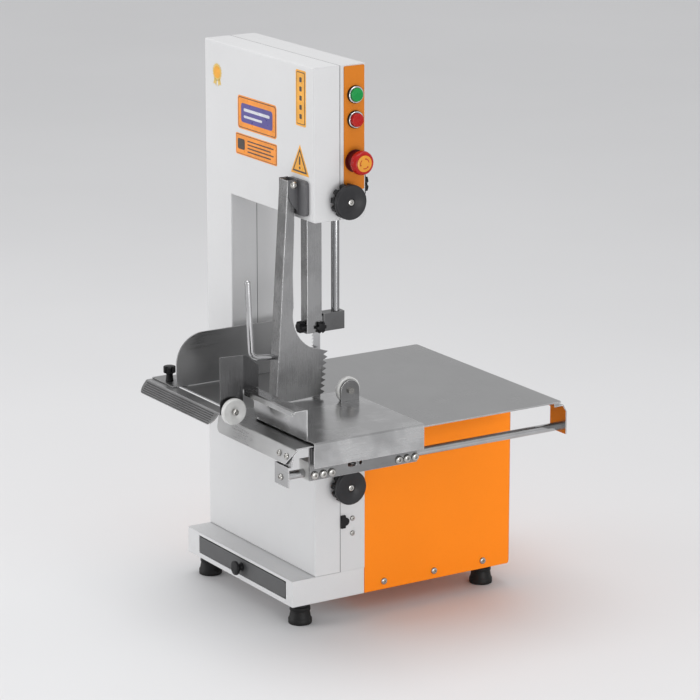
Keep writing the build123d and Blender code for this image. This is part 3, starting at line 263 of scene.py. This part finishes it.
cast_alloy = turned("machined_alloy", (0.56, 0.565, 0.57), rough=0.38, scale=500.0)
brass = turned("brass", (0.62, 0.44, 0.18), rough=0.3)
black = plastic("black_plastic", (0.008, 0.008, 0.009), rough=0.36, gloss=0.22)
disc_grey = plastic("disc_plastic", (0.018, 0.018, 0.020), rough=0.45, gloss=0.30)
rubber = plastic("rubber", (0.009, 0.009, 0.009), rough=0.5, grain=0.4, gloss=0.25)
nylon = plastic("white_nylon", (0.56, 0.56, 0.55), rough=0.35, grain=0.12, sss=0.15)
green = plastic("green_button", (0.005, 0.27, 0.055), rough=0.24, grain=0.03, gloss=0.3)
red = plastic("red_button", (0.40, 0.006, 0.005), rough=0.26, grain=0.02, gloss=0.3)
dark_red = plastic("dark_red_collar", (0.10, 0.004, 0.004), rough=0.35, grain=0.05, gloss=0.3)
yellow = plastic("yellow_disc", (0.66, 0.27, 0.012), rough=0.35, grain=0.1)
motor_coat = powder_coat("motor_coat", (0.12, 0.13, 0.15), rough=0.45)

LOOKS = {
    white_coat: ["base_plinth", "table_supports", "tension_bracket"],
    door_coat: ["upper_door", "lower_door"],
    body_coat: ["main_frame"],
    orange_coat: ["motor_cabinet"],
    panel_painted_shade: ["control_panel"],
    drawer_coat: ["drawer_tray"],
    bracket_coat: ["arm_bracket"],
    table_steel: ["table_top"],
    slider_steel: ["sliding_table"],
    fence_steel: ["fence_plate"],
    arm_steel: ["pusher_arm"],
    guard_steel: ["blade_guard"],
    painted_shade_plate_steel: ["hand_guard"],
    bar_steel: ["slider_bar"],
    bracket_steel: ["rail_brackets", "roller_bracket"],
    blade_steel: ["saw_blade"],
    chrome: ["rail_rod", "pusher_handle"],
    post_chrome: ["guide_rod"],
    block_steel: ["guide_block"],
    zinc: ["slider_fasteners", "frame_fasteners", "pivot_bolt", "hinge_pins", "tension_screw",
           "motor_shaft", "upper_axle", "upper_wheel_bearings", "lower_blade_guide"],
    cast_alloy: ["post_guide_bush", "tension_carriage", "lower_wheel", "upper_wheel"],
    brass: ["guide_inserts"],
    black: ["drawer_knob", "front_star_knob", "side_star_knob", "guide_clamp_knob", "fence_knob",
            "button_bezels", "upper_lock_knob", "lower_lock_knob", "interlock_switch", "mains_gland",
            "estop_stem"],
    dark_red: ["estop_collar"],
    rubber: ["rubber_feet"],
    nylon: ["front_roller", "rear_roller", "slider_bushes", "blade_scrapers"],
    green: ["start_button"],
    red: ["stop_button", "estop_head"],
    motor_coat: ["motor_housing", "motor_fan_cowl"],
}
for look, names in LOOKS.items():
    for name in names:
        node = nodes[name]
        node.data.materials.clear()
        node.data.materials.append(look)


# ======================= mesh helpers =======================

def piece(name, bm, look, body, smooth=False):
    mesh = bpy.data.meshes.new(name)
    bmesh.ops.recalc_face_normals(bm, faces=bm.faces)
    bm.to_mesh(mesh)
    bm.free()
    mesh.materials.append(look)
    if smooth:
        mesh.shade_smooth()
    obj = bpy.data.objects.new(name, mesh)
    bpy.context.scene.collection.objects.link(obj)
    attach(obj, body)
    return obj


def prism(bm, outline, y0, y1, round_over=0.0):
    """A flat plate facing the operator from (x, z) points; its front edge may be rounded over."""
    back = [bm.verts.new((x, y1, z)) for x, z in outline]
    side = [bm.verts.new((x, y0 + round_over, z)) for x, z in outline]
    middle_x = sum(x for x, _ in outline) / len(outline)
    middle_z = sum(z for _, z in outline) / len(outline)
    face = []
    for x, z in outline:
        run = Vector((middle_x - x, 0, middle_z - z))
        inward = run.normalized() * round_over
        face.append(bm.verts.new((x + inward.x, y0, z + inward.z)))
    count = len(outline)
    for ring_a, ring_b in ((back, side), (side, face)):
        for i in range(count):
            j = (i + 1) % count
            bm.faces.new((ring_a[i], ring_a[j], ring_b[j], ring_b[i]))
    bm.faces.new(face)
    bm.faces.new(list(reversed(back)))


def rounded(x0, x1, z0, z1, radius, steps=6):
    """A rectangle with round corners, in (x, z)."""
    points = []
    for cx, cz, start in ((x1 - radius, z1 - radius, 0), (x0 + radius, z1 - radius, 90),
                          (x0 + radius, z0 + radius, 180), (x1 - radius, z0 + radius, 270)):
        for i in range(steps + 1):
            angle = math.radians(start + 90 * i / steps)
            points.append((cx + radius * math.cos(angle), cz + radius * math.sin(angle)))
    return points


def on_machine(outline):
    return [(RIGHT + x * MM, BOTTOM + z * MM) for x, z in outline]


def label(name, outline, look, layer=0, height=0.25):
    """A thin sticker on the upper door; layer 1 lies on layer 0."""
    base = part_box("upper_door")[0].y
    bm = bmesh.new()
    low = base - layer * 0.0002 - height * MM
    prism(bm, on_machine(outline), low, base - layer * 0.0002 + 0.00005, 0.00008)
    return piece(name, bm, look, "upper_door_leaf")


def lathe(bm, start, axis, profile, steps=48, lobes=0, depth=0.0, lobed=()):
    """A turned shape from (distance along, radius) pairs; the rings listed in lobed are scalloped."""
    axis = Vector(axis).normalized()
    side = Vector((0, 0, 1)) if abs(axis.z) < 0.5 else Vector((1, 0, 0))
    other = axis.cross(side)
    rings = []
    for i, (along, radius) in enumerate(profile):
        ring = []
        for k in range(steps):
            angle = 2 * math.pi * k / steps
            r = radius
            if i in lobed:
                r -= depth * max(0.0, math.cos(lobes * angle)) ** 0.7
            outward = side * math.cos(angle) + other * math.sin(angle)
            point = start + axis * (along * MM) + outward * (r * MM)
            ring.append(bm.verts.new(point))
        rings.append(ring)
    for a, b in zip(rings, rings[1:]):
        for k in range(steps):
            j = (k + 1) % steps
            bm.faces.new((a[k], a[j], b[j], b[k]))
    bm.faces.new(list(reversed(rings[0])))
    bm.faces.new(rings[-1])


def middle(node):
    lo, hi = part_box(node)
    return (lo + hi) / 2


def turned_piece(name, shapes, look, body):
    """One object made of several turned shapes; each is a dictionary of lathe arguments."""
    bm = bmesh.new()
    for shape in shapes:
        lathe(bm, **shape)
    obj = piece(name, bm, look, body)
    crease(obj)
    return obj


def crease(obj, angle=35):
    """Smooth the shading except across sharp edges."""
    obj.data.shade_smooth()
    edges = bmesh.new()
    edges.from_mesh(obj.data)
    for edge in edges.edges:
        if len(edge.link_faces) == 2 and edge.calc_face_angle() > math.radians(angle):
            edge.smooth = False
    edges.to_mesh(obj.data)
    edges.free()


# ======================= door lock knobs =======================

for which in ("upper", "lower"):
    node = f"{which}_lock_knob"
    body = f"{which}_lock"
    lo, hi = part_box(node)
    hub = Vector((RIGHT, (lo.y + hi.y) / 2, (lo.z + hi.z) / 2))
    grip = [(3.2, 24.5), (3.6, 27.2), (5.0, 28.6), (14.4, 28.6), (15.8, 27.6), (16.4, 25.0)]
    spindle = [(-13.8, 5.8), (3.3, 5.8)]
    rim = turned_piece(f"{which}_lock_rim", [
        dict(start=hub, axis=(1, 0, 0), profile=grip, steps=180, lobes=11, depth=6.0, lobed=(0, 1, 2, 3, 4)),
        dict(start=hub, axis=(1, 0, 0), profile=spindle)], black, body)
    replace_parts(rim, node)
    face = [(16.3, 27.4), (16.7, 28.4), (17.6, 28.9), (22.4, 28.9), (23.6, 28.5), (24.3, 27.6), (24.5, 26.2),
            (24.2, 24.6), (24.2, 7.4), (23.4, 6.2), (20.6, 5.6), (20.5, 0.4)]
    turned_piece(f"{which}_lock_face", [dict(start=hub, axis=(1, 0, 0), profile=face, steps=96)],
                 disc_grey, body)
    bolt = [(20.6, 5.5), (22.8, 5.5), (23.6, 4.9), (23.9, 3.9), (23.9, 2.3), (22.0, 2.1), (21.9, 0.2)]
    turned_piece(f"{which}_lock_bolt", [dict(start=hub, axis=(1, 0, 0), profile=bolt, steps=32)],
                 zinc, body)


# ======================= push buttons =======================

for node in ("start_button", "stop_button"):
    hub = middle(node)
    hub.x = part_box("control_panel")[1].x
    ring = [(0.2, 14.3), (3.4, 14.3), (4.9, 13.7), (5.5, 12.9), (5.5, 11.7), (4.6, 11.3), (0.3, 11.3)]
    bm = bmesh.new()
    lathe(bm, hub, (1, 0, 0), ring, 64)
    holder = piece(node + "_ring", bm, bright_chrome, "machine")
    crease(holder)

hub = middle("estop_head")
hub.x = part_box("estop_head")[0].x
mushroom = [(0.2, 12.5), (0.0, 17.6), (0.9, 19.3), (3.0, 19.95), (6.0, 19.95), (8.6, 19.5), (10.8, 18.6),
            (12.4, 17.2), (13.2, 15.9), (13.5, 14.6), (13.3, 13.8), (13.0, 13.4)]
shell = turned_piece("estop_mushroom", [dict(start=hub, axis=(1, 0, 0), profile=mushroom, steps=72)],
                     red, "estop")
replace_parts(shell, "estop_head")
cap = [(12.8, 13.7), (13.5, 13.5), (13.9, 12.7), (13.95, 10.0), (13.95, 0.4)]
turned_piece("estop_disc", [dict(start=hub, axis=(1, 0, 0), profile=cap, steps=64)],
             yellow, "estop")


def turn_arrows():
    """Three raised curved arrows on the stop button, showing which way it is released."""
    bm = bmesh.new()
    for k in range(3):
        begin = math.radians(120 * k + 10)
        sweep = math.radians(62)
        inner, outer = [], []
        for i in range(13):
            angle = begin + sweep * i / 12
            for ring, r in ((inner, 7.4), (outer, 8.8)):
                ring.append(hub + Vector((14.0 * MM, r * MM * math.cos(angle), r * MM * math.sin(angle))))
        tip_angle = begin + sweep + math.radians(16)
        wide = [hub + Vector((14.0 * MM, r * MM * math.cos(begin + sweep), r * MM * math.sin(begin + sweep)))
                for r in (6.2, 10.0)]
        tip = hub + Vector((14.0 * MM, 8.1 * MM * math.cos(tip_angle), 8.1 * MM * math.sin(tip_angle)))
        inside = [bm.verts.new(v) for v in inner]
        outside = [bm.verts.new(v) for v in outer]
        for i in range(12):
            bm.faces.new((inside[i], inside[i + 1], outside[i + 1], outside[i]))
        bm.faces.new([bm.verts.new(v) for v in (wide[0], tip, wide[1])])
    piece("estop_arrows", bm, red, "estop")


turn_arrows()


# ======================= star knobs =======================

def star(node, axis, start, height, body, radius=10.3, lobes=6, depth=3.6):
    """The grip of a star knob, in place of the node's plain one."""
    profile = [(0.2, radius * 0.55), (0.5, radius * 0.86), (1.4, radius * 0.97),
               (height - 2.2, radius * 0.97), (height - 1.0, radius * 0.88),
               (height - 0.2, radius * 0.66), (height, radius * 0.4)]
    shape = dict(start=start, axis=axis, profile=profile, steps=96, lobes=lobes, depth=depth,
                 lobed=(1, 2, 3, 4))
    knob = turned_piece(node + "_star", [shape], black, body)
    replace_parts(knob, node)


lo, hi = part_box("front_star_knob")
hub = Vector(((lo.x + hi.x) / 2, FRONT + 59.4 * MM, (lo.z + hi.z) / 2))
star("front_star_knob", (0, -1, 0), hub, 10.8, "front_star")
lo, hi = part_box("side_star_knob")
hub = Vector((RIGHT - 50.3 * MM, (lo.y + hi.y) / 2, (lo.z + hi.z) / 2))
star("side_star_knob", (1, 0, 0), hub, 5.8, "side_star")
lo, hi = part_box("guide_clamp_knob")
hub = Vector(((lo.x + hi.x) / 2, hi.y - 20 * MM, (lo.z + hi.z) / 2))
star("guide_clamp_knob", (0, 1, 0), hub, 19.8, "post_clamp", 22.0, 8, 4.4)
shank_bm = bmesh.new()
lathe(shank_bm, Vector((hub.x, FRONT + 142.2 * MM, hub.z)), (0, 1, 0), [(0, 7.6), (14.5, 7.6)], 32)
crease(piece("guide_clamp_collar", shank_bm, zinc, "post_clamp"))
lo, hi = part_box("fence_knob")
hub = Vector(((lo.x + hi.x) / 2, (lo.y + hi.y) / 2, hi.z - 12.5 * MM))
star("fence_knob", (0, 0, 1), hub, 12.4, "fence_clamp", 11.0, 6, 2.6)
stem_bm = bmesh.new()
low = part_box("fence_plate")[0].z + 2.2 * MM
rise = (hub.z - low) / MM
stem = [(0, 6.8), (2.5, 6.4), (rise - 3, 5.6), (rise + 0.6, 7.0)]
screw = [(0, 3.0), (low / MM - lo.z / MM, 3.0)]
lathe(stem_bm, Vector((hub.x, hub.y, low)), (0, 0, 1), stem, 40)
lathe(stem_bm, Vector((hub.x, hub.y, lo.z)), (0, 0, 1), screw, 24)
lathe(stem_bm, Vector((hub.x, hub.y, lo.z + 5.6 * MM)), (0, 0, 1), [(0, 7.2), (5.5, 7.2)], 6)
crease(piece("fence_knob_stem", stem_bm, black, "fence_clamp"))


# ======================= white rollers =======================

for node, body in (("front_roller", "roller_front"), ("rear_roller", "roller_rear")):
    lo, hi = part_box(node)
    hub = Vector((lo.x, (lo.y + hi.y) / 2, (lo.z + hi.z) / 2))
    wide = (hi.x - lo.x) / MM
    r = (hi.z - lo.z) / 2 / MM
    tread = [(1.2, 4.4), (0.3, r - 4), (0.0, r - 2.2), (0.7, r - 0.6), (1.8, r), (wide - 1.8, r),
             (wide - 0.7, r - 0.6), (wide, r - 2.0), (wide - 0.3, r - 2.8), (wide - 3.4, r * 0.5),
             (wide - 4.2, 6.4), (wide - 4.2, 4.4)]
    wheel = turned_piece(node + "_dished", [dict(start=hub, axis=(1, 0, 0), profile=tread, steps=80)],
                         nylon, body)
    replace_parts(wheel, node)


# ======================= feet and drawer knob =======================

feet_lo, feet_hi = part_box("rubber_feet")
foot = [(0.3, 18.6), (0.0, 19.6), (1.2, 20.0), (8.0, 20.0), (9.4, 19.2), (11.0, 18.2), (20.0, 16.6),
        (22.0, 16.2),
        (22.6, 17.2), (23.6, 17.6), (28.6, 17.2), (29.6, 16.2), (30.0, 15.0), (37.8, 14.6)]
shapes = []
for x, y in ((-25, 30), (-325, 30), (-35, 402), (-295, 402)):
    base = Vector((RIGHT + x * MM, FRONT + y * MM, feet_lo.z))
    shapes.append(dict(start=base, axis=(0, 0, 1), profile=foot))
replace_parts(turned_piece("rubber_feet_turned", shapes, rubber, "machine"), "rubber_feet")

hub = middle("drawer_knob")
hub.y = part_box("drawer_tray")[0].y
pull = [(0.1, 8.0), (1.0, 6.4), (5.0, 5.4), (8.0, 7.2), (9.2, 10.6), (10.6, 12.2), (12.6, 12.6), (14.6, 11.9),
        (15.7, 9.8), (15.9, 6.0), (15.6, 0.3)]
knob = turned_piece("drawer_pull", [dict(start=hub, axis=(0, -1, 0), profile=pull)],
                    black, "drawer")
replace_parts(knob, "drawer_knob")


# ======================= stickers on the door =======================

ink = plastic("label_ink", (0.045, 0.035, 0.03), rough=0.4, grain=0.05, edge=0.0)
amber = plastic("label_amber", (0.80, 0.36, 0.02), rough=0.3, grain=0.04, edge=0.0, coat=0.3)
pale = plastic("label_pale", (0.62, 0.63, 0.68), rough=0.3, grain=0.04, edge=0.0, coat=0.3)
gold = turned("label_gold", (0.78, 0.56, 0.18), rough=0.32, metallic=0.6)
orange_label = plastic("label_orange", (0.82, 0.27, 0.02), rough=0.3, grain=0.04, edge=0.0, coat=0.3)
slate = plastic("label_slate", (0.085, 0.07, 0.27), rough=0.3, grain=0.04, edge=0.0)



def bordered(name, x0, x1, z0, z1, radius, look, inset=2.2, line=1.3):
    """A sticker with a thin printed line just inside its edge."""
    label(name, rounded(x0, x1, z0, z1, radius), look)
    near, far = inset, inset + line
    label(name + "_line", rounded(x0 + near, x1 - near, z0 + near, z1 - near, radius * 0.8), ink, layer=1)
    label(name + "_field", rounded(x0 + far, x1 - far, z0 + far, z1 - far, radius * 0.7), look, layer=2)


bordered("name_plate", -240, -115, 765, 821, 6, orange_label)
label("name_plate_panel", rounded(-228, -127, 777, 809, 5), slate, layer=3)
label("name_plate_band", rounded(-219, -136, 796, 801, 2), pale, layer=4)
label("name_plate_band_low", rounded(-219, -160, 785, 789, 1.8), pale, layer=4)
bordered("notice_plate", -247, -114, 720.5, 756.5, 3, orange_label, 1.6, 0.9)
for i in range(4):
    line = rounded(-208, -124 - 9 * (i % 2), 746 - 6.0 * i, 748 - 6.0 * i, 0.8, 3)
    label(f"notice_line_{i}", line, ink, layer=3)
label("notice_mark", rounded(-240, -217, 730, 748, 4), ink, layer=3)
bordered("upright_strip", -54, -23, 800, 891.5, 3, amber, 3.0, 1.3)
for i in range(5):
    label(f"upright_line_{i}", rounded(-42, -35, 812 + 15 * i, 820 + 15 * i, 1.5, 3), ink, layer=3)
label("hazard_triangle", [(-70.0, 720.2), (-14.0, 720.2), (-42, 769.6)], amber)
label("hazard_triangle_edge", [(-64.2, 723.8), (-19.8, 723.8), (-42, 763.2)], ink, layer=1)
label("hazard_triangle_field", [(-59.6, 726.6), (-24.4, 726.6), (-42, 757.8)], amber, layer=2)
label("hazard_bar", rounded(-44.2, -39.8, 736.0, 750, 1.8, 4), ink, layer=3)
label("hazard_dot", rounded(-44.2, -39.8, 729.0, 733.4, 2.0, 5), ink, layer=3)

ROSETTE_X = -307.6
ROSETTE_Z = 848
rosette = []
for i in range(72):
    angle = 2 * math.pi * i / 72
    radius = 14.4 + 1.1 * math.cos(angle * 18)
    rosette.append((ROSETTE_X + radius * math.cos(angle), ROSETTE_Z + radius * math.sin(angle)))
label("rosette", rosette, gold)
ring = []
for i in range(48):
    angle = math.pi * i / 24
    ring.append((ROSETTE_X + 10.4 * math.cos(angle), ROSETTE_Z + 10.4 * math.sin(angle)))
label("rosette_field", ring, amber, layer=1)
label("rosette_tail_left", [(-317, 838), (-309, 834), (-311, 824), (-315, 828), (-320.5, 827)], gold)
label("rosette_tail_right", [(-306, 834), (-298, 838), (-294.7, 827), (-300, 828), (-304, 824)], gold)


# ======================= raised grip on the left lip =======================

def grip_dots():
    """Rows of small raised pips down the sloping front of the left lip."""
    bm = bmesh.new()
    lo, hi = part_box("table_top")
    top = Vector((0, FRONT - 103.0 * MM, hi.z - 0.0017))
    low = Vector((0, FRONT - 117.0 * MM, hi.z - 0.0190))
    run = (low - top)
    out = Vector((0, run.z, -run.y)).normalized()
    if out.z < 0:
        out = -out
    rows = 6
    columns = 64
    left = lo.x + 0.009
    pitch = (RIGHT - 0.071 - left) / columns
    for r in range(rows):
        for c in range(columns):
            where = top + run * ((r + 0.5) / rows)
            shift = 0.5 if r % 2 else 0.0
            where.x = left + (c + shift) * pitch
            rim = []
            crown = []
            for k in range(8):
                a = k * math.pi / 4
                across = Vector((math.cos(a), 0, 0)) + run.normalized() * math.sin(a)
                rim.append(bm.verts.new(where + across * 0.00125 - out * 0.0002))
                crown.append(bm.verts.new(where + across * 0.0007 + out * 0.0010))
            for k in range(8):
                bm.faces.new((rim[k], rim[(k + 1) % 8], crown[(k + 1) % 8], crown[k]))
            bm.faces.new(crown)
    piece("grip_pips", bm, grip_steel, "machine", smooth=True)


grip_dots()


# ======================= camera, floor and light =======================

scene = bpy.context.scene

camera = bpy.data.cameras.new("camera")
camera.lens = 166.2
camera.sensor_width = 36.0
camera.shift_x = 0.0
camera.shift_y = -0.0239
camera.clip_end = 100
viewer = bpy.data.objects.new("camera", camera)
viewer.location = (4.4197, -2.7779, 1.8358)
viewer.rotation_euler = (math.radians(90 - 14.70), 0, math.radians(57.79))
scene.collection.objects.link(viewer)
scene.camera = viewer

bm = bmesh.new()
for x, y in ((-30, -30), (30, -30), (30, 30), (-30, 30)):
    bm.verts.new((x, y, 0))
bm.faces.new(bm.verts)
floor_mesh = bpy.data.meshes.new("floor")
bm.to_mesh(floor_mesh)
bm.free()
floor = bpy.data.objects.new("floor", floor_mesh)
floor.location.z = cad_lo.z - 0.0005
floor_look = Look("studio_floor", roughness=0.65, Specular_IOR_Level=0.25)
cloudy = floor_look.ranged(floor_look.noise(0.9, 3), 0, 1)
floor_look.colour(floor_look.mix(cloudy, (0.73, 0.73, 0.738), (0.76, 0.76, 0.768)))
floor_mesh.materials.append(floor_look.mat)
scene.collection.objects.link(floor)


def softbox(name, place, aim, size, power):
    light = bpy.data.lights.new(name, "AREA")
    light.shape = "RECTANGLE"
    light.size, light.size_y = size
    light.energy = power
    obj = bpy.data.objects.new(name, light)
    obj.location = place
    obj.rotation_euler = (Vector(aim) - Vector(place)).to_track_quat("-Z", "Y").to_euler()
    obj.visible_camera = False
    scene.collection.objects.link(obj)


softbox("key", (-2.0, -3.2, 0.75), (0.0, 0.0, 0.25), (2.4, 1.2), 50)
softbox("side", (3.0, 0.0, 0.42), (0.0, 0.1, 0.10), (1.6, 0.8), 29)
softbox("overhead", (0.1, -0.3, 3.5), (0.1, -0.1, 0.0), (2.6, 2.4), 44)


def flag(name, place, aim, size, tone, glow=0.0):
    """A card that only the polished steel sees, as photographers use for contrast."""
    bm = bmesh.new()
    for x, y in ((-0.5, -0.5), (0.5, -0.5), (0.5, 0.5), (-0.5, 0.5)):
        bm.verts.new((x * size[0], y * size[1], 0))
    bm.faces.new(bm.verts)
    mesh = bpy.data.meshes.new(name)
    bm.to_mesh(mesh)
    bm.free()
    card = Look(name, roughness=0.8)
    card.colour(card.mix(card.noise(3.0), shade(tone, 0.9), shade(tone, 1.1)))
    card.shader.inputs["Emission Color"].default_value = (1, 1, 1, 1)
    card.shader.inputs["Emission Strength"].default_value = glow
    mesh.materials.append(card.mat)
    obj = bpy.data.objects.new(name, mesh)
    obj.location = place
    obj.rotation_euler = (Vector(aim) - Vector(place)).to_track_quat("Z", "Y").to_euler()
    obj.visible_camera = False
    obj.visible_diffuse = False
    obj.visible_shadow = False
    obj.visible_transmission = False
    scene.collection.objects.link(obj)


flag("flag_front", (-1.05, -1.05, 0.62), (0.0, -0.15, 0.5), (1.5, 1.1), (0.34, 0.34, 0.34))

world = bpy.data.worlds.new("studio")
world.use_nodes = True
sky = world.node_tree.nodes["Background"]
sky.inputs["Color"].default_value = (0.938, 0.94, 0.948, 1)
sky.inputs["Strength"].default_value = 0.745
scene.world = world
scene.view_settings.view_transform = "Standard"
scene.view_settings.look = "None"
